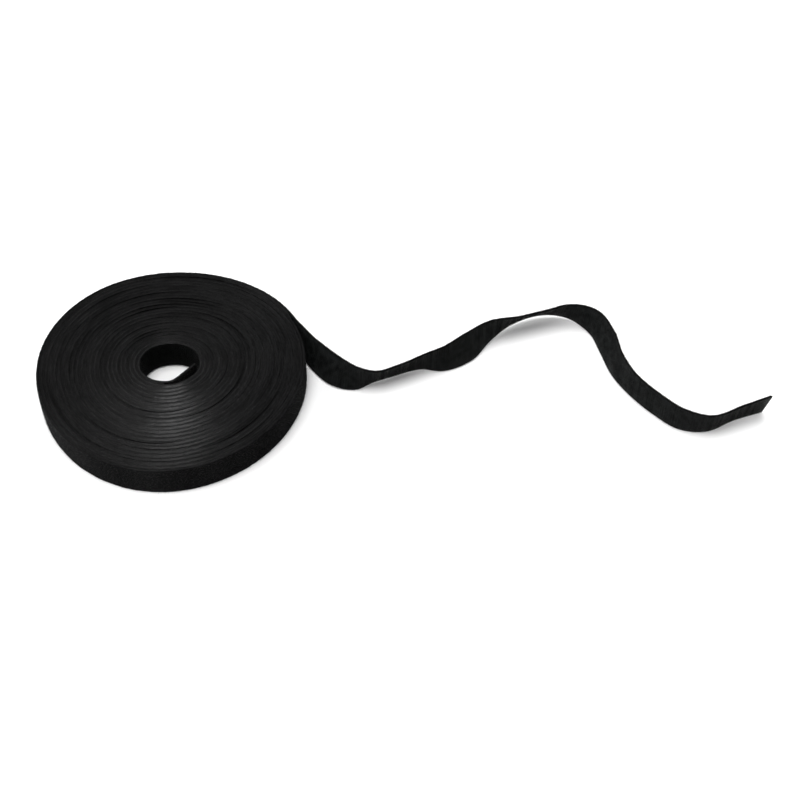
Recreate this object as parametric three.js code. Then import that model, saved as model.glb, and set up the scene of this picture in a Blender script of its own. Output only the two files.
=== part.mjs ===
// A roll of back-to-back hook and loop tape that lies flat, with its outer end run out beside it.
// Millimetres, +Z up. The tape is two plies bonded back to back and wound as one flat spiral with no core:
// the hook ply faces the bore and the loop ply faces outwards. The tape stands on its edge all along.

import * as THREE from 'three';

// The tape
const tapeWidth = 20;
const hookPlyThickness = 0.88;
const loopPlyThickness = 0.88;
const bondGap = 0.3; // between the plies, where the real tape has its film of adhesive
const jointGap = 0.3; // where the wound stretch meets the free one, end to end

// The winding
const boreRadius = 14.7; // to the tape's inner face, where the first turn starts
const turnGap = 0.63; // between one turn and the next
const turns = 23.65;
const stepsPerTurn = 23;
const exitAzimuth = THREE.MathUtils.degToRad(30); // where the tape leaves the roll, from +X

// How the real roll is out of round
const ovalSwell = 1.5; // longer along X and shorter along Y, alike on every turn
const lobes = 3; // soft ones, which grow from nothing at the bore to their full swell at the rim
const lobeSwell = 1.25;
const lobeAzimuth = THREE.MathUtils.degToRad(25);
const boreShift = new THREE.Vector2(-1.9, 2.6); // of the bore's centre from the rim's

// The tape's first end, which crosses the bore as a chord and bends into the first turn.
// Each point gives shares of the first turn's radius: out along that radius, and back along its tangent.
const startEndShares = [
  [-0.09, 1.1],
  [0.21, 0.88],
  [0.51, 0.66],
  [0.8, 0.44],
  [0.92, 0.31],
  [0.975, 0.165],
];

// The free end's route, chosen by hand: the tape's middle line in plan from where it leaves the roll,
// how far its lower edge is lifted off the surface, and how far it leans back from upright, in degrees.
const tailRoute = [
  { x: 0, y: 0, lift: 0, lean: 0 },
  { x: 5.2, y: -9.2, lift: 0.3, lean: 9 },
  { x: 11.5, y: -18.8, lift: 0.3, lean: 22 },
  { x: 23.7, y: -31.2, lift: 0.6, lean: 28 },
  { x: 36.7, y: -37.8, lift: 0.3, lean: 4 },
  { x: 48.2, y: -36.6, lift: 0.3, lean: -23 },
  { x: 61.2, y: -31.6, lift: 0.3, lean: -24 },
  { x: 76.2, y: -25.4, lift: 0.4, lean: -17 },
  { x: 90.7, y: -22.4, lift: 0.3, lean: 7 },
  { x: 105.2, y: -12.9, lift: 0.3, lean: 20 },
  { x: 118.7, y: -0.6, lift: 0.5, lean: -2 },
  { x: 134.2, y: 7.4, lift: 2.2, lean: -31 },
  { x: 151.2, y: 13.4, lift: 3.2, lean: -37 },
  { x: 168.7, y: 14.8, lift: 1.8, lean: -18 },
  { x: 183.4, y: 7, lift: 0.3, lean: 9 },
  { x: 190.4, y: -9, lift: 0.3, lean: 19 },
  { x: 194.7, y: -26.5, lift: 0.3, lean: 12 },
  { x: 202.7, y: -42.6, lift: 0.3, lean: 3 },
  { x: 214.7, y: -57, lift: 0.3, lean: 1 },
  { x: 228.7, y: -69, lift: 0.3, lean: -2 },
  { x: 245.7, y: -72.6, lift: 0.3, lean: -13 },
  { x: 262.7, y: -65.2, lift: 0.8, lean: -16 },
  { x: 280.7, y: -58.5, lift: 1.2, lean: -13 },
];
const stepsPerRoutePoint = 3;
const cutSlant = 1.5; // how much further the free end's upper corner reaches than its lower one

// Sizes that follow
const tapeThickness = hookPlyThickness + bondGap + loopPlyThickness;
const pitch = tapeThickness + turnGap;
const woundSteps = Math.round(turns * stepsPerTurn);
const stepAngle = 2 * Math.PI / stepsPerTurn;
const startAzimuth = exitAzimuth + woundSteps * stepAngle;
const endRun = tapeThickness; // both sides of a joint run straight for this long

// Where each ply lies across the tape's thickness, from its middle line outwards
const hookPly = { inner: -tapeThickness / 2, outer: -tapeThickness / 2 + hookPlyThickness };
const loopPly = { inner: tapeThickness / 2 - loopPlyThickness, outer: tapeThickness / 2 };

const up = new THREE.Vector3(0, 0, 1);

// A station is one cross-section of the tape: its middle point, the direction across its width
// and the direction out through its outer face.
function station(middle, across, outward) {
  return { middle, across, outward };
}

// On a flat stretch the tape stands upright, and its outer face is on the left of its heading.
function uprightStation(middle, heading) {
  const outward = new THREE.Vector3(-heading.y, heading.x, 0).normalize();
  return station(middle, up.clone(), outward);
}

// How far the winding stands out from a true spiral at an azimuth, for a share of the way outwards.
function swell(azimuth, share) {
  return ovalSwell * Math.cos(2 * azimuth) + share * lobeSwell * Math.cos(lobes * (azimuth - lobeAzimuth));
}

function boreCentre(share) {
  return new THREE.Vector3(boreShift.x, boreShift.y, 0).multiplyScalar(1 - share);
}

// The winding's middle line, counted in steps from the first turn's start. It runs clockwise from above.
function windingPoint(step) {
  const azimuth = startAzimuth - step * stepAngle;
  const share = step / woundSteps;
  const radius = boreRadius + pitch * step / stepsPerTurn + swell(azimuth, share) + tapeThickness / 2;
  const radial = new THREE.Vector3(Math.cos(azimuth), Math.sin(azimuth), 0);
  return boreCentre(share).addScaledVector(radial, radius).setZ(tapeWidth / 2);
}

function windingHeading(step) {
  const halfStep = 1 / 2;
  return windingPoint(step + halfStep).sub(windingPoint(step - halfStep)).normalize();
}

function windingStation(step) {
  const azimuth = startAzimuth - step * stepAngle;
  const outward = new THREE.Vector3(Math.cos(azimuth), Math.sin(azimuth), 0);
  return station(windingPoint(step), up.clone(), outward);
}

// The first end's stations, from its tip in the bore to just before the first turn.
function startEndStations() {
  const first = windingPoint(0);
  const centre = boreCentre(0).setZ(first.z);
  const radial = first.clone().sub(centre);
  const back = new THREE.Vector3(-radial.y, radial.x, 0);
  const points = startEndShares.map(([outShare, backShare]) =>
    centre.clone().addScaledVector(radial, outShare).addScaledVector(back, backShare));
  const line = [...points, first];
  return points.map((point, i) => {
    const heading = line[i + 1].clone().sub(line[Math.max(i - 1, 0)]);
    return uprightStation(point, heading);
  });
}

// Where the wound stretch ends, after it has run straight off the last turn.
const exitHeading = windingHeading(woundSteps);
const windingEnd = windingPoint(woundSteps).addScaledVector(exitHeading, endRun);

function windingStations() {
  const stations = startEndStations();
  for (let step = 0; step < woundSteps; step += 1) {
    stations.push(windingStation(step));
  }
  stations.push(uprightStation(windingPoint(woundSteps), exitHeading));
  stations.push(uprightStation(windingEnd, exitHeading));
  return stations;
}

// The free end's middle line and its lean, on smooth curves through the hand-chosen points.
function tailStations() {
  const start = windingEnd.clone().addScaledVector(exitHeading, jointGap);
  const routeStart = start.clone().addScaledVector(exitHeading, endRun).setZ(0);
  const middles = tailRoute.map((point) => {
    const lean = THREE.MathUtils.degToRad(point.lean);
    const rise = tapeWidth / 2 * Math.cos(lean) + tapeThickness / 2 * Math.abs(Math.sin(lean));
    return new THREE.Vector3(point.x, point.y, point.lift + rise).add(routeStart);
  });
  const route = new THREE.CatmullRomCurve3(middles, false, 'catmullrom');
  const leans = new THREE.CatmullRomCurve3(
    tailRoute.map((point) => new THREE.Vector3(THREE.MathUtils.degToRad(point.lean), 0, 0)),
    false,
    'catmullrom',
  );
  const stations = [uprightStation(start, exitHeading)];
  const steps = (tailRoute.length - 1) * stepsPerRoutePoint;
  for (let i = 0; i <= steps; i += 1) {
    const share = i / steps;
    const heading = i === 0 ? exitHeading : route.getTangent(share);
    stations.push(leaningStation(route.getPoint(share), heading, leans.getPoint(share).x));
  }
  const last = stations[stations.length - 1];
  last.across.addScaledVector(route.getTangent(1), cutSlant / tapeWidth);
  return stations;
}

function leaningStation(middle, heading, lean) {
  const level = new THREE.Vector3(-heading.y, heading.x, 0).normalize();
  const across = up.clone().multiplyScalar(Math.cos(lean)).addScaledVector(level, Math.sin(lean));
  across.addScaledVector(heading, -across.dot(heading)).normalize();
  const outward = across.clone().cross(heading).normalize();
  return station(middle, across, outward);
}

// A ply's four corners at a station: low inner, low outer, high outer, high inner.
function corners({ middle, across, outward }, ply) {
  const at = (sideShare, depth) =>
    middle.clone().addScaledVector(across, sideShare * tapeWidth / 2).addScaledVector(outward, depth);
  return [at(-1, ply.inner), at(-1, ply.outer), at(1, ply.outer), at(1, ply.inner)];
}

// One closed body with a rectangular section that follows the stations. Its inner and outer faces are
// split along the same diagonal, so that the two plies stay parallel where the tape twists.
function stripGeometry(stations, ply) {
  const positions = stations.flatMap((each) => corners(each, ply)).flatMap((corner) => corner.toArray());
  const sides = 4;
  const innerSide = 3;
  const indices = [];
  for (let i = 0; i < stations.length - 1; i += 1) {
    for (let side = 0; side < sides; side += 1) {
      const a = i * sides + side;
      const b = i * sides + (side + 1) % sides;
      if (side === innerSide) {
        indices.push(a, b, a + sides, b, b + sides, a + sides);
      } else {
        indices.push(a, b, b + sides, a, b + sides, a + sides);
      }
    }
  }
  const end = (stations.length - 1) * sides;
  indices.push(0, 3, 2, 0, 2, 1);
  indices.push(end, end + 1, end + 2, end, end + 2, end + 3);
  const geometry = new THREE.BufferGeometry();
  geometry.setAttribute('position', new THREE.Float32BufferAttribute(positions, 3));
  geometry.setIndex(indices);
  geometry.computeVertexNormals();
  return geometry;
}

// The least distance in plan from the outer faces of each turn to the inner faces of the turn around it.
function leastGapBetweenTurns(stations, outerPly, innerPly) {
  const facePoint = (each, depth) => each.middle.clone().addScaledVector(each.outward, depth);
  const nearest = new THREE.Vector3();
  const face = new THREE.Line3();
  let least = Infinity;
  for (let i = 0; i < stations.length; i += 1) {
    const point = facePoint(stations[i], outerPly.outer);
    const from = i + Math.floor(stepsPerTurn / 2);
    const to = Math.min(i + 2 * stepsPerTurn, stations.length - 1);
    for (let j = from; j < to; j += 1) {
      face.set(facePoint(stations[j], innerPly.inner), facePoint(stations[j + 1], innerPly.inner));
      face.closestPointToPoint(point, true, nearest);
      least = Math.min(least, nearest.distanceTo(point));
    }
  }
  return least;
}

function hookMaterial() {
  return new THREE.MeshStandardMaterial({ color: 0x1c1c1d, roughness: 0.7, metalness: 0 });
}

function loopMaterial() {
  return new THREE.MeshStandardMaterial({ color: 0x161617, roughness: 0.95, metalness: 0 });
}

function ply(name, stations, place, material) {
  const mesh = new THREE.Mesh(stripGeometry(stations, place), material);
  mesh.name = name;
  return mesh;
}

const wound = windingStations();
const free = tailStations();

console.log('least gap of the hook ply to itself', leastGapBetweenTurns(wound, hookPly, hookPly).toFixed(3));
console.log('least gap of the loop ply to itself', leastGapBetweenTurns(wound, loopPly, loopPly).toFixed(3));
console.log('least gap from turn to turn', leastGapBetweenTurns(wound, loopPly, hookPly).toFixed(3));

const roll = new THREE.Group();
roll.add(ply('hook_ply_winding', wound, hookPly, hookMaterial()));
roll.add(ply('loop_ply_winding', wound, loopPly, loopMaterial()));
roll.add(ply('hook_ply_tail', free, hookPly, hookMaterial()));
roll.add(ply('loop_ply_tail', free, loopPly, loopMaterial()));

// The origin is at the middle of the part's footprint, on the surface that it lies on.
const box = new THREE.Box3().setFromObject(roll);
const middle = box.getCenter(new THREE.Vector3());
roll.position.set(-middle.x, -middle.y, -box.min.z);

const part = new THREE.Group();
part.add(roll);

export default part;
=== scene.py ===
"""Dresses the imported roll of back-to-back hook and loop tape, and sets its stage.

Each piece of the tape is made flat and is then wound onto the tape's line. Laid flat, x is the way
along the tape, y is up its width, and z is from its middle towards the hook side. All is in metres.
"""

import math
import random

import bmesh
import bpy
import numpy as np
from bpy.props import FloatProperty, FloatVectorProperty, IntProperty, PointerProperty
from mathutils import Matrix, Vector, noise


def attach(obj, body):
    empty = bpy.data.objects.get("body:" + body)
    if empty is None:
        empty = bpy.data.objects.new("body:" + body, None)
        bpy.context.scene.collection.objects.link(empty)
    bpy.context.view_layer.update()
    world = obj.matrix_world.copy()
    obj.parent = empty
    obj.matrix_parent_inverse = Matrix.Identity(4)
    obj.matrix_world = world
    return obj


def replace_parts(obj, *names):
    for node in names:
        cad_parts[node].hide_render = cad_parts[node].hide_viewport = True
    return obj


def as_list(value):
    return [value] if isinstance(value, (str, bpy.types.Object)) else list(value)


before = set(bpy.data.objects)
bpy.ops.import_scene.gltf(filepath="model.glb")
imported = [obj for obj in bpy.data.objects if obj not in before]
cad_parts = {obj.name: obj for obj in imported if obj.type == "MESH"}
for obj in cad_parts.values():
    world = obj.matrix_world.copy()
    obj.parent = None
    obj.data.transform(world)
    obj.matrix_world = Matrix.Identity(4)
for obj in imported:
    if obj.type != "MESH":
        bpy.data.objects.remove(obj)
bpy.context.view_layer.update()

bl_info = {
    "name": "Hook and Loop Tape Roll",
    "version": (1, 0, 0),
    "blender": (4, 5, 0),
    "location": "3D View > Sidebar > Tape Roll",
    "description": "Makes the wound tape, its free end, its hooks and nap, and a stage",
    "category": "Object",
}

# The tape's first end, which crosses the bore: shares of the first turn's radius, out along that
# radius and back along its tangent.
START_END_SHARES = [
    (-0.09, 1.1),
    (0.21, 0.88),
    (0.51, 0.66),
    (0.8, 0.44),
    (0.92, 0.31),
    (0.975, 0.165),
]

# The free end's route, from where the tape leaves the roll: its middle line in plan, how far its
# lower edge is lifted, and how far it leans back, in degrees.
FREE_END_ROUTE = [
    (0.0, 0.0, 0.0, 0),
    (0.0052, -0.0092, 0.0003, 9),
    (0.0115, -0.0188, 0.0003, 22),
    (0.0237, -0.0312, 0.0006, 28),
    (0.0367, -0.0378, 0.0003, 4),
    (0.0482, -0.0366, 0.0003, -23),
    (0.0612, -0.0316, 0.0003, -24),
    (0.0762, -0.0254, 0.0004, -17),
    (0.0907, -0.0224, 0.0003, 7),
    (0.1052, -0.0129, 0.0003, 20),
    (0.1187, -0.0006, 0.0005, -2),
    (0.1342, 0.0074, 0.0022, -31),
    (0.1512, 0.0134, 0.0032, -37),
    (0.1687, 0.0148, 0.0018, -18),
    (0.1834, 0.007, 0.0003, 9),
    (0.1904, -0.009, 0.0003, 19),
    (0.1947, -0.0265, 0.0003, 12),
    (0.2027, -0.0426, 0.0003, 3),
    (0.2147, -0.057, 0.0003, 1),
    (0.2287, -0.069, 0.0003, -2),
    (0.2457, -0.0726, 0.0003, -13),
    (0.2627, -0.0652, 0.0008, -16),
    (0.2807, -0.0585, 0.0012, -13),
]

# The model winds in straight steps: how many in all, and in each turn.
MODEL_STEPS = 544
STEPS_PER_TURN = 23

# Each ply's name, and the side of the tape's middle that it is on
PLIES = (("hook", 1), ("loop", -1))

# Which middle values of a noise are spread out: few for clear patches, and more for soft ones
CLEAR = (0.42, 0.58)
SOFT = (0.3, 0.7)

UP = np.array([0.0, 0.0, 1.0])


class TapeSizes(bpy.types.PropertyGroup):
    """The tape's own sizes"""

    width: FloatProperty(name="Width", description="From edge to edge", default=0.02, unit="LENGTH")
    thickness: FloatProperty(
        name="Thickness",
        description="Through both plies, hooks and nap included",
        default=0.00206,
        unit="LENGTH",
    )
    ground: FloatProperty(
        name="Ground", description="Thickness of each ply's woven ground", default=0.00052, unit="LENGTH"
    )
    edge_round: FloatProperty(
        name="Edge Round", description="Rounding of the woven edges", default=0.00022, unit="LENGTH"
    )
    joint_gap: FloatProperty(
        name="Joint Gap",
        description="Between the model's wound and free stretches, which the dressed tape closes",
        default=0.0003,
        unit="LENGTH",
    )
    cut_slant: FloatProperty(
        name="Cut Slant",
        description="How much further the free end's upper corner reaches than its lower one",
        default=0.0015,
        unit="LENGTH",
    )


class RollSizes(bpy.types.PropertyGroup):
    """How the tape is wound"""

    rim_centre: FloatVectorProperty(
        name="Rim Centre",
        description="Middle of the roll's rim on the surface that it lies on",
        default=(-0.13755, 0.00038, 0.0),
        subtype="XYZ",
        unit="LENGTH",
    )
    bore_radius: FloatProperty(
        name="Bore Radius",
        description="To the tape's inner face, where the first turn starts",
        default=0.0147,
        unit="LENGTH",
    )
    turn_gap: FloatProperty(
        name="Turn Gap",
        description="Between one turn and the next, before hooks and nap mesh",
        default=0.00063,
        unit="LENGTH",
    )
    turns: FloatProperty(
        name="Turns", description="Wound on the roll", default=MODEL_STEPS / STEPS_PER_TURN
    )
    exit_azimuth: FloatProperty(
        name="Exit Azimuth",
        description="Where the tape leaves the roll, from +X",
        default=math.radians(30),
        subtype="ANGLE",
    )
    oval_swell: FloatProperty(
        name="Oval Swell",
        description="Longer along X and shorter along Y, alike on every turn",
        default=0.0015,
        unit="LENGTH",
    )
    lobe_swell: FloatProperty(
        name="Lobe Swell",
        description="Three soft lobes that grow towards the rim",
        default=0.00125,
        unit="LENGTH",
    )
    lobe_azimuth: FloatProperty(
        name="Lobe Azimuth",
        description="Where the first lobe stands, from +X",
        default=math.radians(25),
        subtype="ANGLE",
    )
    bore_shift: FloatVectorProperty(
        name="Bore Shift",
        description="Of the bore's centre from the rim's",
        default=(-0.0019, 0.0026, 0.0),
        subtype="XYZ",
        unit="LENGTH",
    )
    lift: FloatProperty(
        name="Uneven Edges",
        description="How far some turns' edges stand above the others",
        default=0.0008,
        unit="LENGTH",
    )
    wobble: FloatProperty(
        name="Wobble", description="How far a turn strays in or out", default=0.00016, unit="LENGTH"
    )


class HookSizes(bpy.types.PropertyGroup):
    """The hooks of the hook ply"""

    height: FloatProperty(name="Height", description="Above the ground", default=0.00078, unit="LENGTH")
    wire: FloatProperty(
        name="Wire", description="Diameter of a hook's wire", default=0.00021, unit="LENGTH"
    )
    along: FloatProperty(
        name="Spacing Along", description="From row to row", default=0.0015, unit="LENGTH"
    )
    beside: FloatProperty(name="Spacing Beside", description="In a row", default=0.00116, unit="LENGTH")
    margin: FloatProperty(
        name="Margin", description="Bare edge beside the outermost hooks", default=0.0011, unit="LENGTH"
    )


class NapSizes(bpy.types.PropertyGroup):
    """The napped loops of the loop ply, and the fibres that stray from it"""

    height: FloatProperty(name="Height", description="Above the ground", default=0.00062, unit="LENGTH")
    recess: FloatProperty(
        name="Recess",
        description="How far the nap lies below the woven edges",
        default=0.00016,
        unit="LENGTH",
    )
    sunk: FloatProperty(
        name="Sunk",
        description="How much deeper the nap lies where a gap shows between turns",
        default=0.0009,
        unit="LENGTH",
    )
    opening: FloatProperty(
        name="Opening",
        description="Over which the meshed nap swells from the open nap's depth where turns part",
        default=0.007,
        unit="LENGTH",
    )
    area: FloatProperty(
        name="Area of a Loop",
        description="Face of the tape that each modelled loop covers",
        default=1.55e-6,
        unit="AREA",
        precision=6,
    )
    span: FloatProperty(
        name="Span", description="From foot to foot of a loop", default=0.0015, unit="LENGTH"
    )
    fibre: FloatProperty(name="Fibre", description="Thickness of a loop", default=0.00013, unit="LENGTH")
    meshed: IntProperty(
        name="Meshed Loops",
        description="Loops that show between the turns, for each metre of the upper edge",
        default=880,
    )
    strays: IntProperty(name="Strays", description="Stray fibres for each metre of edge", default=520)
    stray_length: FloatProperty(
        name="Stray Length", description="Of a stray fibre", default=0.0016, unit="LENGTH"
    )


class TapeColours(bpy.types.PropertyGroup):
    """The colours of the tape's finishes"""

    hook_ground: FloatVectorProperty(
        name="Hook Ply",
        description="Woven ground of the hook ply",
        default=(0.0068, 0.0074, 0.0073),
        subtype="COLOR",
    )
    loop_ground: FloatVectorProperty(
        name="Loop Ply",
        description="Woven ground of the loop ply",
        default=(0.0036, 0.0036, 0.0037),
        subtype="COLOR",
    )
    edge: FloatVectorProperty(
        name="Edge",
        description="Woven edges, where the yarns turn and wear",
        default=(0.0053, 0.0053, 0.0054),
        subtype="COLOR",
    )
    hook: FloatVectorProperty(
        name="Hooks", description="Hook wire", default=(0.016, 0.0175, 0.0172), subtype="COLOR"
    )
    # Painted shade: the share of brightness left on the hook ply's faces and on the hooks around the
    # bore, standing in for the shade inside the bore
    bore: FloatProperty(
        name="Bore Tone",
        description="How much of the hook ply's brightness is left on the worn turn around the bore",
        default=0.3,
    )
    nap: FloatVectorProperty(
        name="Nap", description="Napped loops", default=(0.0078, 0.0078, 0.008), subtype="COLOR"
    )
    meshed: FloatVectorProperty(
        name="Meshed Nap",
        description="Nap pressed between the turns, and stray fibres",
        default=(0.0046, 0.0046, 0.0047),
        subtype="COLOR",
    )


class StageSettings(bpy.types.PropertyGroup):
    """The floor, the lights and the camera"""

    floor_colour: FloatVectorProperty(
        name="Floor", description="Plain pale floor", default=(0.95, 0.95, 0.95), subtype="COLOR"
    )
    floor_size: FloatProperty(
        name="Floor Size", description="Side of the floor", default=30.0, unit="LENGTH"
    )
    sky: FloatProperty(name="Sky", description="Brightness all round", default=0.28)
    key_strength: FloatProperty(
        name="Key Light", description="Broad soft light from the left", default=2.3
    )
    back_strength: FloatProperty(
        name="Back Light", description="Broad soft light from behind", default=1.5
    )
    top_strength: FloatProperty(name="Top Light", description="Broad soft light from above", default=2.6)
    sheen_power: FloatProperty(
        name="Sheen Light",
        description="Small lamp above, whose sheen fans over the turns in front of the bore",
        default=205.0,
        unit="POWER",
    )
    aim: FloatVectorProperty(
        name="Aim",
        description="Where the camera looks on the floor",
        default=(-0.0012, -0.00913, 0.0),
        subtype="XYZ",
        unit="LENGTH",
    )
    camera_distance: FloatProperty(
        name="Camera Distance", description="From the aim", default=0.9572, unit="LENGTH"
    )
    camera_pitch: FloatProperty(
        name="Camera Pitch", description="Below the horizon", default=math.radians(51), subtype="ANGLE"
    )
    lens: FloatProperty(name="Lens", description="Focal length", default=71.52, unit="CAMERA")


class TapeRollSettings(bpy.types.PropertyGroup):
    """All that a user may set on the tape roll"""

    tape: PointerProperty(type=TapeSizes)
    roll: PointerProperty(type=RollSizes)
    hooks: PointerProperty(type=HookSizes)
    nap: PointerProperty(type=NapSizes)
    colours: PointerProperty(type=TapeColours)
    stage: PointerProperty(type=StageSettings)


# The tape's line


class TapeLine:
    """A stretch of the tape's middle line, and which way its width and its outer face point there."""

    def __init__(self, middles, across):
        heading = np.gradient(middles, axis=0)
        heading /= np.linalg.norm(heading, axis=1)[:, None]
        across = across - heading * (across * heading).sum(axis=1)[:, None]
        across /= np.linalg.norm(across, axis=1)[:, None]
        steps = np.linalg.norm(np.diff(middles, axis=0), axis=1)
        self.travel = np.concatenate([[0.0], np.cumsum(steps)])
        self.length = self.travel[-1]
        self.middles = middles
        self.across = across
        self.outward = np.cross(across, heading)

    def at(self, rows, travel):
        """The line's points or directions at some lengths along it."""
        return np.stack([np.interp(travel, self.travel, rows[:, k]) for k in range(3)], axis=1)

    def wind(self, mesh):
        """Bends a flat mesh onto the line."""
        flat = np.empty(len(mesh.vertices) * 3)
        mesh.vertices.foreach_get("co", flat)
        travel, side, rise = flat.reshape(-1, 3).T
        placed = self.at(self.middles, travel)
        placed += self.at(self.across, travel) * side[:, None]
        placed -= self.at(self.outward, travel) * rise[:, None]
        mesh.vertices.foreach_set("co", placed.ravel())
        mesh.update()


def smooth_route(points, steps):
    """A smooth line through each of the points, with that many steps from one to the next."""
    points = np.array(points, float)
    line = [2 * points[0] - points[1], *points, 2 * points[-1] - points[-2]]
    route = []
    for before, start, end, after in zip(line, line[1:], line[2:], line[3:]):
        leave, arrive = (end - before) / 2, (after - start) / 2
        for share in np.arange(steps) / steps:
            cubic = (2 * start - 2 * end + leave + arrive) * share**3
            square = (3 * end - 3 * start - 2 * leave - arrive) * share**2
            route.append(cubic + square + leave * share + start)
    route.append(points[-1])
    return np.array(route)


def winding_points(settings, angles):
    """The middle line's points, for angles wound since the first turn's start, clockwise from above."""
    tape, roll = settings.tape, settings.roll
    full = math.tau * roll.turns
    azimuth = roll.exit_azimuth + full - angles
    share = angles / full
    pitch = tape.thickness + roll.turn_gap
    lobes = 3
    radius = roll.bore_radius + tape.thickness / 2 + pitch * angles / math.tau
    radius += roll.oval_swell * np.cos(2 * azimuth)
    radius += share * roll.lobe_swell * np.cos(lobes * (azimuth - roll.lobe_azimuth))
    x = roll.bore_shift[0] * (1 - share) + radius * np.cos(azimuth)
    y = roll.bore_shift[1] * (1 - share) + radius * np.sin(azimuth)
    return np.stack([x, y, np.full_like(x, tape.width / 2)], axis=1)


def drift_at(x, y, z):
    """Smooth noise, from about -1 to 1. Places far apart, as on another level z, have their own."""
    return noise.noise(Vector((x, y, z)))


def proud_share(angle, turn):
    """How proud a turn stands, from 0 to 1.4: alike in a group of turns, and finely along each."""
    broad = drift_at(1.3 * math.cos(angle), 1.3 * math.sin(angle), 0.55 * turn)
    fine = drift_at(4.3 * turn, 0.8 * angle, 7.1)
    return min(max(0.5 + 0.7 * broad + 0.5 * fine, 0), 1.4)


def uneven_winding(settings, points, angles):
    """Lets turns stray a little in or out and stand a little proud, and leaves both ends alone."""
    roll = settings.roll
    full = math.tau * roll.turns
    fade_angle = 0.8
    fade = np.clip(np.minimum(angles, full - angles) / fade_angle, 0, 1)
    radial = points * [1, 1, 0]
    radial /= np.linalg.norm(radial, axis=1)[:, None]
    turns = angles / math.tau
    lifts = [proud_share(a, t) for a, t in zip(angles, turns)]
    strays = [drift_at(1.9 * a, 3.7 * t, 2.3) for a, t in zip(angles, turns)]
    points = points + radial * (np.array(strays) * fade * roll.wobble)[:, None]
    return points + UP * (np.array(lifts) * fade * roll.lift)[:, None]


def exit_of(settings):
    """Where the last turn ends, the tape's heading there, and the middle of the joint past it."""
    tape, full = settings.tape, math.tau * settings.roll.turns
    half_step = math.pi / STEPS_PER_TURN
    steps = np.array([full - half_step, full, full + half_step])
    before, last, after = winding_points(settings, steps)
    heading = (after - before) / np.linalg.norm(after - before)
    return last, heading, last + heading * (tape.thickness + tape.joint_gap / 2)


def wound_line(settings):
    """The wound stretch, from its tip in the bore to the middle of the joint with the free end."""
    tape, roll = settings.tape, settings.roll
    full = math.tau * roll.turns
    centre = np.array([roll.bore_shift[0], roll.bore_shift[1], tape.width / 2])
    first, second = winding_points(settings, np.array([0, math.tau / STEPS_PER_TURN]))
    radial = first - centre
    back = np.array([-radial[1], radial[0], 0])
    tip = [centre + radial * out + back * behind for out, behind in START_END_SHARES]
    steps, rows_per_turn = 24, 360
    start = smooth_route([*tip, first, second], steps)[: -steps - 1]
    angles = np.linspace(0, full, round(roll.turns * rows_per_turn))
    turns = uneven_winding(settings, winding_points(settings, angles), angles)
    end = exit_of(settings)[2]
    points = np.concatenate([start, turns, [end]])
    return TapeLine(points + np.array(roll.rim_centre), np.tile(UP, (len(points), 1)))


def free_line(settings):
    """The free stretch, from the middle of the joint to a little past its cut end."""
    tape = settings.tape
    last, heading, start = exit_of(settings)
    corner = last + heading * (2 * tape.thickness + tape.joint_gap)
    route = []
    for x, y, lift, lean in FREE_END_ROUTE:
        tilt = math.radians(lean)
        rise = tape.width / 2 * math.cos(tilt) + tape.thickness / 2 * abs(math.sin(tilt))
        route.append((corner[0] + x, corner[1] + y, lift + rise, tilt))
    smooth = smooth_route(route, steps=12)
    smooth = np.concatenate([smooth, [2 * smooth[-1] - smooth[-2]]])
    middles = np.concatenate([[start], smooth[:, :3]])
    lean = np.concatenate([[0], smooth[:, 3]])
    heading = np.gradient(middles, axis=0)
    level = np.stack([-heading[:, 1], heading[:, 0], 0 * lean], axis=1)
    level /= np.linalg.norm(level, axis=1)[:, None]
    across = UP * np.cos(lean)[:, None] + level * np.sin(lean)[:, None]
    return TapeLine(middles + np.array(settings.roll.rim_centre), across)


def free_length(line):
    """The free stretch's length to its cut, without the bit past it."""
    return line.travel[-2]


# Flat shapes


def extruded(shape, faces):
    """Extrudes faces where they are, and gives the new corners to move, and the new faces."""
    raised = bmesh.ops.extrude_face_region(shape, geom=faces)["geom"]
    corners = [v for v in raised if isinstance(v, bmesh.types.BMVert)]
    return corners, [f for f in raised if isinstance(f, bmesh.types.BMFace)]


def flat_strip(start, end, width, low, high, step, edge_round, columns):
    """A flat strip as a bmesh, from start to end along the tape and between two levels."""
    strip = bmesh.new()
    rows = math.ceil((end - start) / step)
    bmesh.ops.create_grid(strip, x_segments=rows, y_segments=columns, size=0.5)
    bmesh.ops.scale(strip, vec=(end - start, width, 1), verts=strip.verts)
    bmesh.ops.translate(strip, vec=((start + end) / 2, 0, low), verts=strip.verts)
    corners, _ = extruded(strip, strip.faces[:])
    bmesh.ops.translate(strip, vec=(0, 0, high - low), verts=corners)
    bmesh.ops.recalc_face_normals(strip, faces=strip.faces)
    if edge_round:
        rims = [e for e in strip.edges if is_long_rim(e, width)]
        bmesh.ops.bevel(
            strip, geom=rims, offset=edge_round, affect="EDGES", segments=3, profile=0.5, material=-1
        )
    return strip


def is_long_rim(edge, width):
    """True for the strip's four long corner edges."""
    hair = 1e-7
    a, b = edge.verts
    on_side = all(abs(abs(v.co.y) - width / 2) < hair for v in (a, b))
    return on_side and abs(a.co.z - b.co.z) < hair


def cut_end(strip, length, width, slant):
    """Cuts a flat strip across at its free end, a little slanted."""
    geom = strip.verts[:] + strip.edges[:] + strip.faces[:]
    normal = Vector((width, -slant, 0)).normalized()
    cut = bmesh.ops.bisect_plane(
        strip, geom=geom, plane_co=(length, 0, 0), plane_no=normal, clear_outer=True
    )["geom_cut"]
    edges = [e for e in cut if isinstance(e, bmesh.types.BMEdge)]
    bmesh.ops.contextual_create(strip, geom=edges)


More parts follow.
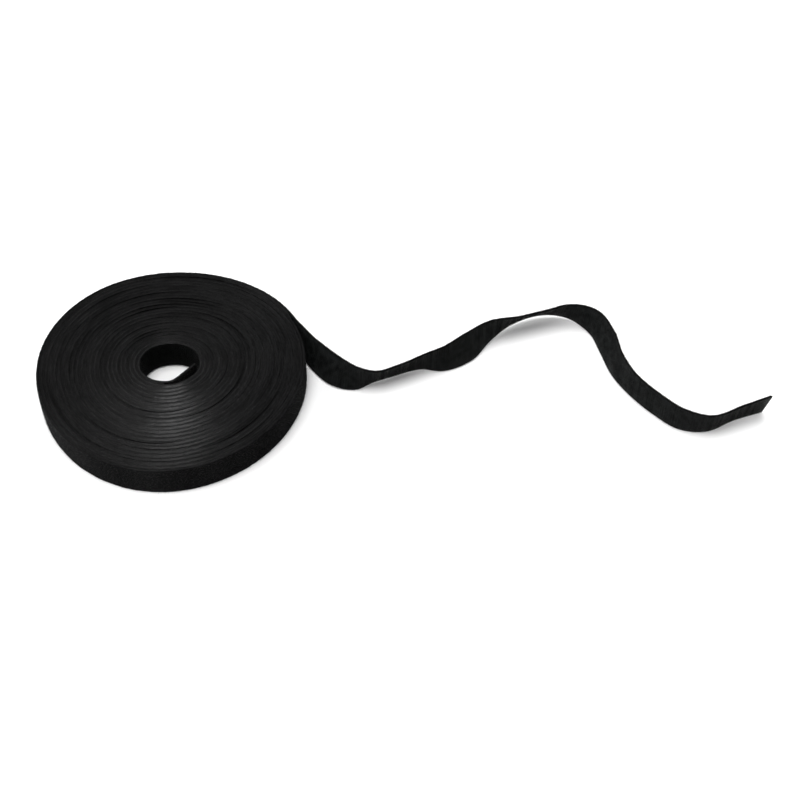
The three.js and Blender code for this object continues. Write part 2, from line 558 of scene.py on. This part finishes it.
def hook_shape(hooks):
    """One hook: a stem that curls over along the tape."""
    curl_share, curl_turn = 0.33, math.radians(215)
    curl = hooks.height * curl_share
    stem = hooks.height - curl - hooks.wire / 2
    shape = bmesh.new()
    bmesh.ops.create_circle(shape, cap_ends=True, segments=4, radius=hooks.wire / 2)
    bmesh.ops.reverse_faces(shape, faces=shape.faces)
    corners, top = extruded(shape, shape.faces[:])
    bmesh.ops.translate(shape, vec=(0, 0, stem), verts=corners)
    bmesh.ops.spin(shape, geom=top, cent=(curl, 0, stem), axis=(0, 1, 0), angle=curl_turn, steps=4)
    bmesh.ops.delete(shape, geom=top, context="FACES_ONLY")
    bmesh.ops.recalc_face_normals(shape, faces=shape.faces)
    return shape


def loop_shape(nap):
    """One loop of the nap: a thin arch on two feet, half as high as it is wide."""
    shape = bmesh.new()
    bmesh.ops.create_circle(shape, cap_ends=True, segments=3, radius=nap.fibre / 2)
    bmesh.ops.translate(shape, vec=(-nap.span / 2, 0, 0), verts=shape.verts)
    bmesh.ops.spin(shape, geom=shape.faces[:], cent=(0, 0, 0), axis=(0, 1, 0), angle=math.pi, steps=5)
    bmesh.ops.recalc_face_normals(shape, faces=shape.faces)
    return shape


def stray_shape(nap):
    """One stray fibre: a thin bent hair that grows thinner to its tip."""
    shape = bmesh.new()
    bmesh.ops.create_circle(shape, cap_ends=True, segments=3, radius=nap.fibre / 3)
    ends = shape.faces[:]
    bend = Matrix.Rotation(math.radians(17), 4, "Y") @ Matrix.Scale(0.82, 4)
    pieces = 4
    for _ in range(pieces):
        corners, tip = extruded(shape, ends[-1:])
        ends += tip
        foot = Matrix.Translation(-tip[0].calc_center_median())
        bmesh.ops.transform(shape, matrix=bend, space=foot, verts=corners)
        bmesh.ops.translate(shape, vec=tip[0].normal * nap.stray_length / pieces, verts=corners)
    bmesh.ops.delete(shape, geom=ends[1:-1], context="FACES_ONLY")
    bmesh.ops.recalc_face_normals(shape, faces=shape.faces)
    return shape


def hook_places(settings, start, end, seed):
    """Where the hooks stand, in rows across the tape that stagger from column to column."""
    tape, hooks = settings.tape, settings.hooks
    chance = random.Random(seed)
    half = tape.width / 2 - hooks.margin
    columns = int(2 * half / hooks.beside)
    spare = (2 * half - columns * hooks.beside) / 2
    root = tape.ground - hooks.wire / 2
    for row in range(int((end - start) / hooks.along)):
        for column in range(columns + 1):
            stagger = column % 2
            x = start + (row + 0.25 + stagger / 2 + chance.uniform(-0.06, 0.06)) * hooks.along
            y = spare - half + (column + chance.uniform(-0.08, 0.08)) * hooks.beside
            turn = Matrix.Rotation(math.pi * stagger + chance.uniform(-0.3, 0.3), 4, "Z")
            tall = Matrix.Scale(chance.uniform(0.9, 1.08), 4, Vector((0, 0, 1)))
            yield Matrix.Translation((x, y, root)) @ turn @ tall


def loop_places(settings, start, end, seed):
    """Where the nap's loops lie, each turned, tilted and stretched in its own way."""
    tape, nap = settings.tape, settings.nap
    chance = random.Random(seed)
    cell = math.sqrt(nap.area)
    half = tape.width / 2 - nap.recess - cell / 4
    columns = round(2 * half / cell)
    root = tape.ground + nap.height * 0.55
    for row in range(int((end - start) / cell)):
        for column in range(columns):
            x = start + (row + 0.5 + chance.uniform(-0.5, 0.5)) * cell
            y = (column + 0.5 + chance.uniform(-0.4, 0.4)) * 2 * half / columns - half
            over = Matrix.Rotation(math.pi + chance.uniform(-0.6, 0.6), 4, "X")
            turn = Matrix.Rotation(chance.uniform(-1.2, 1.2), 4, "Z")
            shape = Matrix.Diagonal((chance.uniform(0.6, 1.15), 1, chance.uniform(0.35, 0.7), 1))
            yield Matrix.Translation((x, y, -root)) @ turn @ over @ shape


def sunk_at(nap, travel):
    """How much deeper the meshed nap lies there, so that a gap shows between turns."""
    gap_grain, level_grain = 0.11, 0.045
    deep = drift_at(travel / gap_grain, 0.0, 3.1)
    level = drift_at(travel / level_grain, 0.0, 8.7)
    return nap.sunk * min(max(4 * deep - 1, 0), 1) + nap.recess * level


def meshed_places(settings, start, end, depth, each_metre, edge, tallest, seed):
    """Where loops stand out of the meshed nap between turns, at one edge of the tape."""
    tape, nap = settings.tape, settings.nap
    chance = random.Random(seed)
    for _ in range(int((end - start) * each_metre)):
        x = chance.uniform(start, end)
        rise = -tape.ground - chance.uniform(0.1, 0.9) * depth
        y = edge * (tape.width / 2 - nap.recess * 1.5 - sunk_at(nap, x))
        aim = Matrix.Rotation(-edge * math.pi / 2 + chance.gauss(0, 0.3), 4, "X")
        turn = Matrix.Rotation(chance.uniform(-0.9, 0.9), 4, "Y")
        shape = Matrix.Diagonal((chance.uniform(0.5, 1), 1, tallest * chance.uniform(0.5, 1), 1))
        yield Matrix.Translation((x, y, rise)) @ turn @ aim @ shape


def stray_places(settings, start, end, each_metre, edge, seed):
    """Where stray fibres leave the tape: edge is 1 at the upper one, and -1 at the lower one.

    Along the lower edge they all point out of the loop ply's face, above what the tape stands on.
    """
    tape, nap = settings.tape, settings.nap
    chance = random.Random(seed)
    for _ in range(int((end - start) * each_metre)):
        x = chance.uniform(start, end)
        rise = -tape.ground - chance.uniform(0, 1) * nap.height
        y = edge * (tape.width / 2 - chance.uniform(0, nap.recess))
        aim = Matrix.Rotation(-math.pi / 2 + chance.gauss(0, 0.5), 4, "X")
        if edge < 0:
            y += nap.stray_length * chance.uniform(0.3, 1)
            aim = Matrix.Rotation(math.pi + chance.uniform(-0.3, 0.5), 4, "X")
        lean = Matrix.Rotation(chance.gauss(0, 0.7), 4, "Z")
        roll = Matrix.Rotation(chance.uniform(0, math.tau), 4, "Z")
        size = Matrix.Scale(chance.uniform(0.35, 1), 4)
        yield Matrix.Translation((x, y, rise)) @ lean @ aim @ roll @ size


def ruffle(corners, axis, amount, grain):
    """Moves vertices to and fro along an axis, as tufts of that grain stand out or sink."""
    for corner in corners:
        corner.co[axis] += amount * noise.noise(corner.co / grain)


def copies(shape, placements):
    """One bmesh that holds a copy of a small shape at each placement. The shape is used up."""
    pattern = bpy.data.meshes.new("pattern")
    shape.to_mesh(pattern)
    shape.free()
    rest = np.empty(len(pattern.vertices) * 3)
    pattern.vertices.foreach_get("co", rest)
    gathered = bmesh.new()
    for placement in placements:
        pattern.vertices.foreach_set("co", rest)
        pattern.transform(placement)
        gathered.from_mesh(pattern)
    bpy.data.meshes.remove(pattern)
    return gathered


def lay_uv(shape):
    """Gives a flat shape its own map, in metres along the tape and up its width."""
    layer = shape.loops.layers.uv.new("tape")
    for face in shape.faces:
        for corner in face.loops:
            corner[layer].uv = corner.vert.co.xy


def finish_piece(name, shape, line, material, carrier=None, creases=False, more=()):
    """Winds a flat shape onto the line and makes it a piece, which goes with its carrier if named."""
    mesh = bpy.data.meshes.new(name)
    shape.to_mesh(mesh)
    shape.free()
    line.wind(mesh)
    mesh.shade_smooth()
    if creases:
        mesh.set_sharp_from_angle(angle=math.radians(50))
    for each in [material, *more]:
        mesh.materials.append(each)
    piece = bpy.data.objects.new(name, mesh)
    bpy.context.scene.collection.objects.link(piece)
    if carrier:
        piece.parent = bpy.data.objects[carrier]
    else:
        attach(piece, "root")
    return piece


# Finishes


def fresh_material(name, colour, roughness, specular):
    """A new material with one surface shader, its node tree, and that shader."""
    material = bpy.data.materials.new(name)
    material.use_nodes = True
    tree = material.node_tree
    shader = tree.nodes["Principled BSDF"]
    shader.inputs["Base Color"].default_value = (*colour[:3], 1)
    shader.inputs["Roughness"].default_value = roughness
    shader.inputs["Specular IOR Level"].default_value = specular
    return material, tree, shader


def add_node(tree, kind, inputs, **options):
    """Adds a shader node, whose inputs are values or other nodes' outputs, and gives its outputs."""
    node = tree.nodes.new(f"ShaderNode{kind}")
    for option, value in options.items():
        setattr(node, option, value)
    for place, value in inputs.items():
        if isinstance(value, bpy.types.NodeSocket):
            tree.links.new(value, node.inputs[place])
        else:
            node.inputs[place].default_value = value
    return node.outputs


def math_node(tree, operation, *values):
    """A Math node's output, with each value a number or another node's output."""
    return add_node(tree, "Math", dict(enumerate(values)), operation=operation)[0]


def mix_values(tree, first, second, share):
    """A share of the first value, and the rest of the second."""
    rest = math_node(tree, "MULTIPLY", second, 1 - share)
    return math_node(tree, "MULTIPLY_ADD", first, share, rest)


def tape_map(tree):
    """The piece's own map, and its lengths along the tape and up the tape's width."""
    source = add_node(tree, "UVMap", {}, uv_map="tape")["UV"]
    split = add_node(tree, "SeparateXYZ", {0: source})
    return source, split["X"], split["Y"]


def noise_of(tree, coordinates, scale, detail=2.0, stretch=None):
    """A noise texture's value on the given coordinates."""
    if stretch:
        coordinates = add_node(tree, "Mapping", {"Vector": coordinates, "Scale": stretch})[0]
    inputs = {"Vector": coordinates, "Scale": scale, "Detail": detail}
    return add_node(tree, "TexNoise", inputs)["Fac"]


def ramp_of(tree, value, low, high, start=0.0, end=1.0):
    """Spreads a value's range from low to high over start to end."""
    levels = {"From Min": low, "From Max": high, "To Min": start, "To Max": end}
    return add_node(tree, "MapRange", {"Value": value, **levels})[0]


def waves(tree, length, spacing):
    """Even waves along a length, with that spacing."""
    return math_node(tree, "SINE", math_node(tree, "MULTIPLY", length, math.tau / spacing))


def shade(colour, share):
    """A colour with a share of its brightness, opaque."""
    return (*(c * share for c in colour[:3]), 1)


def blend_colours(tree, share, first, second):
    """Blends two colours, each opaque or another node's output."""
    inputs = {"Factor": share, "A": first, "B": second}
    return add_node(tree, "Mix", inputs, data_type="RGBA")["Result"]


def vary(tree, tone, colour, dark, light):
    """A colour that goes from a dark to a light shade of itself with the tone."""
    return blend_colours(tree, tone, shade(colour, dark), shade(colour, light))


def bump_of(tree, shader, height, distance):
    """Raises the shader's surface by a height, which counts in units of the distance."""
    normal = add_node(tree, "Bump", {"Height": height, "Distance": distance})[0]
    tree.links.new(normal, shader.inputs["Normal"])


def ring_tone(tree, centre):
    """A tone that changes from one group of turns to the next, and slowly around them."""
    across_turns = 7
    source = add_node(tree, "TexCoord", {})["Object"]
    to_centre = [-c for c in centre]
    centred = add_node(tree, "Mapping", {"Vector": source, "Location": to_centre})[0]
    flat = add_node(tree, "VectorMath", {0: centred, 1: (1, 1, 0)}, operation="MULTIPLY")[0]
    radius = add_node(tree, "VectorMath", {0: flat}, operation="LENGTH")["Value"]
    around = add_node(tree, "SeparateXYZ", {0: flat})
    outwards = math_node(tree, "MULTIPLY", radius, across_turns)
    parts = {"X": outwards, "Y": around["X"], "Z": around["Y"]}
    spread = add_node(tree, "CombineXYZ", parts)[0]
    broad = ramp_of(tree, noise_of(tree, spread, scale=26), *SOFT)
    broken = ramp_of(tree, noise_of(tree, spread, scale=85, detail=1), *SOFT)
    return ramp_of(tree, mix_values(tree, broken, broad, share=0.45), *SOFT)


def stretch_gloss(material):
    """Stretches the gloss across the turns, whose edges are fine ridges around the bore."""
    tree = material.node_tree
    shader = tree.nodes["Principled BSDF"]
    around = add_node(tree, "Tangent", {}, direction_type="RADIAL", axis="Z")[0]
    tree.links.new(around, shader.inputs["Tangent"])
    shader.inputs["Anisotropic"].default_value = 0.85
    shader.inputs["Anisotropic Rotation"].default_value = 0.25


def woven_ground(settings, side, name, specular, share=1.0, margin=0.965):
    """One ply's fine plain weave: side is 1 for the hook ply and -1 for the loop ply.

    Its tone drifts along the tape, with a share of that ply's brightness. Past the margin, a share
    of the half width, are the edges, whose own tone changes from turn to turn.
    """
    dull, glossy, blend_share = 0.6, 0.32, 0.03
    yarn_along, yarn_up = 0.00062, 0.00046
    colours, half_width = settings.colours, settings.tape.width / 2
    colour = shade(colours.hook_ground if side > 0 else colours.loop_ground, share)
    material, tree, shader = fresh_material(name, colour, dull, specular)
    coordinates, along, up = tape_map(tree)
    weave = math_node(tree, "MULTIPLY", waves(tree, along, yarn_along), waves(tree, up, yarn_up))
    frayed = noise_of(tree, coordinates, scale=1900, detail=3)
    bump_of(tree, shader, math_node(tree, "ADD", weave, frayed), distance=0.00009)
    patches = ramp_of(tree, noise_of(tree, coordinates, scale=300, stretch=(1, 0.8, 1)), *CLEAR)
    body = vary(tree, patches, colour, dark=0.45, light=1.6)
    rings = ring_tone(tree, settings.roll.rim_centre)
    tone = mix_values(tree, patches, rings, share=0.4)
    rim = vary(tree, tone, colours.edge, dark=0.6, light=1.45)
    start, end = half_width * margin, half_width * (margin + blend_share)
    to_edge = ramp_of(tree, math_node(tree, "ABSOLUTE", up), start, end)
    tree.links.new(blend_colours(tree, to_edge, body, rim), shader.inputs["Base Color"])
    tree.links.new(ramp_of(tree, rings, 0, 1, dull, glossy), shader.inputs["Roughness"])
    return material


def mottled_fibre(settings, name, colour, roughness, specular, grain):
    """Fibres whose tone changes from tuft to tuft, and from one group of turns to the next."""
    material, tree, shader = fresh_material(name, colour, roughness, specular)
    source = add_node(tree, "TexCoord", {})["Object"]
    tufts = noise_of(tree, source, scale=1 / grain, detail=3)
    rings = ring_tone(tree, settings.roll.rim_centre)
    tone = mix_values(tree, rings, ramp_of(tree, tufts, *CLEAR), share=0.4)
    mottled = vary(tree, tone, colour, dark=0.45, light=1.75)
    tree.links.new(mottled, shader.inputs["Base Color"])
    bump_of(tree, shader, tufts, distance=grain / 5)
    return material


# Operators


class TAPEROLL_OT_stage(bpy.types.Operator):
    """Make the camera, the floor and the lights"""

    bl_idname = "taperoll.stage"
    bl_label = "Make Stage"

    def execute(self, context):
        stage = context.scene.tape_roll.stage
        self.make_camera(context, stage)
        self.make_floor(context, stage)
        self.make_lights(context, stage)
        context.scene.view_settings.view_transform = "Standard"
        return {"FINISHED"}

    def make_camera(self, context, stage):
        camera = bpy.data.objects.new("camera", bpy.data.cameras.new("camera"))
        camera.data.lens = stage.lens
        back = Vector((0, -math.cos(stage.camera_pitch), math.sin(stage.camera_pitch)))
        camera.location = Vector(stage.aim) + back * stage.camera_distance
        camera.rotation_euler = (math.pi / 2 - stage.camera_pitch, 0, 0)
        camera.data.clip_start = 0.01
        context.scene.collection.objects.link(camera)
        context.scene.camera = camera

    def make_floor(self, context, stage):
        sheet = bmesh.new()
        bmesh.ops.create_grid(sheet, x_segments=2, y_segments=2, size=stage.floor_size / 2)
        mesh = bpy.data.meshes.new("floor")
        sheet.to_mesh(mesh)
        sheet.free()
        matt = fresh_material("pale_floor", stage.floor_colour, roughness=1, specular=0)[0]
        mesh.materials.append(matt)
        floor = bpy.data.objects.new("floor", mesh)
        floor.location.z = -0.0001
        # The pale floor would light the black tape from below, which it hardly does in the photo.
        floor.visible_diffuse = False
        context.scene.collection.objects.link(floor)

    def make_lights(self, context, stage):
        world = bpy.data.worlds.new("sky")
        world.use_nodes = True
        sky = world.node_tree.nodes["Background"]
        sky.inputs["Color"].default_value = (1, 1, 1, 1)
        sky.inputs["Strength"].default_value = stage.sky
        context.scene.world = world
        suns = (
            ("key_light", (-1.0, -0.3, 0.45), 60, stage.key_strength, True),
            ("back_light", (0.0, 1.0, 0.45), 60, stage.back_strength, False),
            ("top_light", (-0.05, -0.08, 1.0), 40, stage.top_strength, False),
        )
        for name, place, spread, strength, glossy in suns:
            light = bpy.data.lights.new(name, "SUN")
            light.angle = math.radians(spread)
            light.energy = strength
            lamp = self.hang(context, light, Vector(place), Vector((0, 0, 0)))
            lamp.visible_glossy = glossy
        self.make_sheen_lamp(context, stage)

    def make_sheen_lamp(self, context, stage):
        light = bpy.data.lights.new("sheen_lamp", "SPOT")
        light.energy = stage.sheen_power
        light.spot_size = math.radians(5)
        light.spot_blend = 1.0
        light.shadow_soft_size = 0.03
        place, aim = Vector((-0.14, -0.23, 1.2)), Vector((-0.14, -0.031, 0.02))
        lamp = self.hang(context, light, place, aim)
        lamp.visible_diffuse = False

    def hang(self, context, light, place, aim):
        """Puts a light in its place, turned towards its aim."""
        lamp = bpy.data.objects.new(light.name, light)
        lamp.location = place
        lamp.rotation_euler = (aim - place).to_track_quat("-Z", "Y").to_euler()
        context.scene.collection.objects.link(lamp)
        return lamp


def ply_strip(settings, start, end, side, columns):
    """The woven ground of one ply, flat, a hair from the tape's middle."""
    tape = settings.tape
    hair, step = 0.00001, 0.002
    low, high = sorted((side * hair, side * tape.ground))
    return flat_strip(start, end, tape.width, low, high, step, tape.edge_round, columns)


class TAPEROLL_OT_free_end(bpy.types.Operator):
    """Make both plies of the free end"""

    bl_idname = "taperoll.free_end"
    bl_label = "Make Free End"

    def execute(self, context):
        settings = context.scene.tape_roll
        line = free_line(settings)
        plies = [self.make_ply(settings, line, name, side) for name, side in PLIES]
        cut = free_length(line)
        path = line.at(line.middles, np.linspace(0, cut, num=90))
        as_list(plies[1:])
        return {"FINISHED"}

    def make_ply(self, settings, line, name, side):
        tape = settings.tape
        strip = ply_strip(settings, 0, line.length, side, columns=8)
        cut_end(strip, free_length(line), tape.width, tape.cut_slant)
        lay_uv(strip)
        weave = woven_ground(settings, side, f"free_{name}_weave", specular=0.04, margin=0.92)
        slot = f"{name}_ply"
        piece = finish_piece(f"free_{slot}", strip, line, weave, creases=True)
        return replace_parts(piece, f"{name}_ply_tail")


class TAPEROLL_OT_winding(bpy.types.Operator):
    """Make both plies of the wound stretch"""

    bl_idname = "taperoll.winding"
    bl_label = "Make Winding"

    def execute(self, context):
        settings = context.scene.tape_roll
        line = wound_line(settings)
        for name, side in PLIES:
            self.make_ply(settings, line, name, side)
        return {"FINISHED"}

    def make_ply(self, settings, line, name, side):
        strip = ply_strip(settings, 0, line.length, side, columns=4)
        lay_uv(strip)
        inside = settings.tape.width / 2 - 2 * settings.tape.edge_round
        for face in strip.faces:
            face.material_index = int(abs(face.calc_center_median().y) < inside)
        edges = woven_ground(settings, side, f"wound_{name}_edge", specular=0.16)
        stretch_gloss(edges)
        # Painted shade: the hook ply's faces, seen as the bore's wall, keep only the bore's share of
        # their brightness
        tone = settings.colours.bore if side > 0 else 1.0
        faces = woven_ground(settings, side, f"wound_{name}_face", specular=0.02, share=tone)
        slot = f"{name}_ply"
        piece = finish_piece(f"wound_{slot}", strip, line, edges, creases=True, more=[faces])
        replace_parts(piece, f"{name}_ply_winding")


def start_length(settings, line):
    """How much of the wound stretch crosses the bore before the first turn."""
    first = winding_points(settings, np.array([0.0]))[0] + np.array(settings.roll.rim_centre)
    at_most = 0.1
    near = line.travel < at_most
    return line.travel[near][np.argmin(np.linalg.norm(line.middles[near] - first, axis=1))]


def last_turn_start(settings, line):
    """How much of the wound stretch comes before the turn that nothing covers."""
    full = math.tau * settings.roll.turns
    points = winding_points(settings, np.linspace(full - math.tau, full, num=400))
    return line.length - np.linalg.norm(np.diff(points, axis=0), axis=1).sum()


def nap_root(settings):
    """The level that the nap's mat stands on, a little way into the loop ply's ground."""
    return settings.nap.height * 0.1 - settings.tape.ground


def open_depth(nap):
    """How thick the nap's mat is where nothing presses on it."""
    return nap.height * 0.6


def nap_mat(settings, start, end, depth, step, columns, depth_cuts=0):
    """The nap as a rough strip that lies on the loop ply's ground, a little below the woven edges."""
    width = settings.tape.width - 2 * settings.nap.recess
    root = nap_root(settings)
    mat = flat_strip(start, end, width, root - depth, root, step, 0, columns)
    upright = [e for e in mat.edges if abs(e.verts[0].co.z - e.verts[1].co.z) > depth / 2]
    if depth_cuts:
        bmesh.ops.subdivide_edges(mat, edges=upright, cuts=depth_cuts, use_grid_fill=True)
    almost = 0.99
    sides = [v for v in mat.verts if abs(v.co.y) > width / 2 * almost]
    ruffle(sides, axis=1, amount=settings.nap.recess * 0.9, grain=0.0011)
    outside = [v for v in mat.verts if v.co.z < root - depth * almost]
    ruffle(outside, axis=2, amount=settings.nap.height * 0.35, grain=0.0014)
    return mat


def settle_mat(settings, mat, start, end, depth):
    """Sinks the meshed mat where gaps show between turns, and thins it towards both its ends."""
    tape, nap = settings.tape, settings.nap
    root = nap_root(settings)
    thin = open_depth(nap) / depth
    for corner in mat.verts:
        if abs(corner.co.y) > tape.width / 2 * 0.95:
            corner.co.y -= math.copysign(sunk_at(nap, corner.co.x), corner.co.y)
        inside = min(corner.co.x - start, end - corner.co.x) / nap.opening
        share = thin + (1 - thin) * min(max(inside, 0), 1) ** 0.6
        corner.co.z = root + (corner.co.z - root) * share


class TAPEROLL_OT_nap(bpy.types.Operator):
    """Make the loop ply's nap: meshed between the turns, and open where nothing covers it"""

    bl_idname = "taperoll.nap"
    bl_label = "Make Nap"

    def execute(self, context):
        settings = context.scene.tape_roll
        wound, free = wound_line(settings), free_line(settings)
        first_turn, last_turn = start_length(settings, wound), last_turn_start(settings, wound)
        self.make_meshed(settings, wound, first_turn, last_turn)
        stretches = (
            ("start", wound, 0, first_turn + settings.nap.opening / 2, 11, None),
            ("last_turn", wound, last_turn, wound.length, 12, None),
            ("free", free, 0, free_length(free), 13, "free_loop_ply"),
        )
        self.make_open(settings, stretches)
        return {"FINISHED"}

    def make_meshed(self, settings, line, start, end):
        tape, roll, nap = settings.tape, settings.roll, settings.nap
        colour = settings.colours.meshed
        fibre = mottled_fibre(settings, "meshed_nap", colour, roughness=0.5, specular=0.16, grain=0.0008)
        stretch_gloss(fibre)
        depth = tape.thickness + roll.turn_gap - 2 * tape.ground
        mat = nap_mat(settings, start, end, depth, step=0.0012, columns=3, depth_cuts=4)
        settle_mat(settings, mat, start, end, depth)
        finish_piece("meshed_nap", mat, line, fibre, creases=True)
        edges = (("upper", nap.meshed, 1, 0.6, 16), ("lower", nap.meshed / 3, -1, 0.4, 14))
        for name, each_metre, edge, tallest, seed in edges:
            places = meshed_places(settings, start, end, depth, each_metre, edge, tallest, seed)
            loops = copies(loop_shape(nap), places)
            finish_piece(f"meshed_{name}_loops", loops, line, fibre)

    def make_open(self, settings, stretches):
        nap, colour = settings.nap, settings.colours.nap
        matted = mottled_fibre(settings, "matted_nap", colour, roughness=0.9, specular=0.03, grain=0.0012)
        looped = mottled_fibre(settings, "looped_nap", colour, roughness=0.45, specular=0.2, grain=0.0021)
        for name, line, start, end, seed, carrier in stretches:
            mat = nap_mat(settings, start, end, open_depth(nap), step=0.0016, columns=10)
            finish_piece(f"{name}_nap_mat", mat, line, matted, carrier, creases=True)
            loops = copies(loop_shape(nap), loop_places(settings, start, end, seed))
            finish_piece(f"{name}_nap_loops", loops, line, looped, carrier)


class TAPEROLL_OT_hooks(bpy.types.Operator):
    """Make the hooks that show: on the free end and around the bore"""

    bl_idname = "taperoll.hooks"
    bl_label = "Make Hooks"

    def execute(self, context):
        settings = context.scene.tape_roll
        hooks, colours, roll = settings.hooks, settings.colours, settings.roll
        # Painted shade: the hooks in the bore get the hook colour darkened to the bore's share
        new, shaded = colours.hook, shade(colours.hook, colours.bore)
        wire = mottled_fibre(settings, "hook_wire", new, roughness=0.42, specular=0.08, grain=0.0025)
        shaded_bore_wire = mottled_fibre(
            settings, "bore_hook_wire_painted_shade", shaded, roughness=0.6, specular=0.01, grain=0.0025
        )
        wound, free = wound_line(settings), free_line(settings)
        turns_seen, cut_share = 1.15, 0.6
        bore_end = start_length(settings, wound) + math.tau * roll.bore_radius * turns_seen
        free_end = free_length(free) - cut_share * hooks.along
        stretches = (
            ("bore", wound, hooks.along, bore_end, 21, shaded_bore_wire, None),
            ("free", free, 0, free_end, 22, wire, "free_hook_ply"),
        )
        for name, line, start, end, seed, material, carrier in stretches:
            standing = copies(hook_shape(hooks), hook_places(settings, start, end, seed))
            finish_piece(f"{name}_hooks", standing, line, material, carrier)
        return {"FINISHED"}


class TAPEROLL_OT_strays(bpy.types.Operator):
    """Make the stray fibres along the tape's edges"""

    bl_idname = "taperoll.strays"
    bl_label = "Make Stray Fibres"

    def execute(self, context):
        settings = context.scene.tape_roll
        nap, colour = settings.nap, settings.colours.meshed
        fibre = mottled_fibre(settings, "stray_fibre", colour, roughness=0.5, specular=0.16, grain=0.004)
        wound, free = wound_line(settings), free_line(settings)
        last_turn = last_turn_start(settings, wound)
        cut = free_length(free)
        stretches = (
            ("wound_upper", wound, 0, wound.length, 1, 1, 31, None),
            ("wound_lower", wound, last_turn, wound.length, 3, -1, 29, None),
            ("free_upper", free, 0, cut, 3, 1, 41, "free_loop_ply"),
            ("free_lower", free, 0, cut, 3, -1, 39, "free_loop_ply"),
        )
        for name, line, start, end, density, edge, seed, carrier in stretches:
            places = stray_places(settings, start, end, nap.strays * density, edge, seed)
            strays = copies(stray_shape(nap), places)
            finish_piece(f"{name}_strays", strays, line, fibre, carrier)
        return {"FINISHED"}


PIECES = ("stage", "free_end", "winding", "nap", "hooks", "strays")


class TAPEROLL_PT_sidebar(bpy.types.Panel):
    """The tape roll's sizes and colours, and the operators that make its pieces"""

    bl_idname = "TAPEROLL_PT_sidebar"
    bl_label = "Hook and Loop Tape Roll"
    bl_space_type = "VIEW_3D"
    bl_region_type = "UI"
    bl_category = "Tape Roll"

    def draw(self, context):
        settings = context.scene.tape_roll
        for part in settings.__annotations__:
            box = self.layout.box()
            box.label(text=part.capitalize())
            group = getattr(settings, part)
            for size in group.__annotations__:
                box.prop(group, size)
        for piece in PIECES:
            self.layout.operator(f"taperoll.{piece}")


def main():
    register()
    for piece in PIECES:
        getattr(bpy.ops.taperoll, piece)()


CLASSES = (
    TapeSizes,
    RollSizes,
    HookSizes,
    NapSizes,
    TapeColours,
    StageSettings,
    TapeRollSettings,
    TAPEROLL_OT_stage,
    TAPEROLL_OT_free_end,
    TAPEROLL_OT_winding,
    TAPEROLL_OT_nap,
    TAPEROLL_OT_hooks,
    TAPEROLL_OT_strays,
    TAPEROLL_PT_sidebar,
)


def register():
    for each in CLASSES:
        bpy.utils.register_class(each)
    bpy.types.Scene.tape_roll = PointerProperty(type=TapeRollSettings)


def unregister():
    del bpy.types.Scene.tape_roll
    for each in reversed(CLASSES):
        bpy.utils.unregister_class(each)


if __name__ == "__main__":
    main()
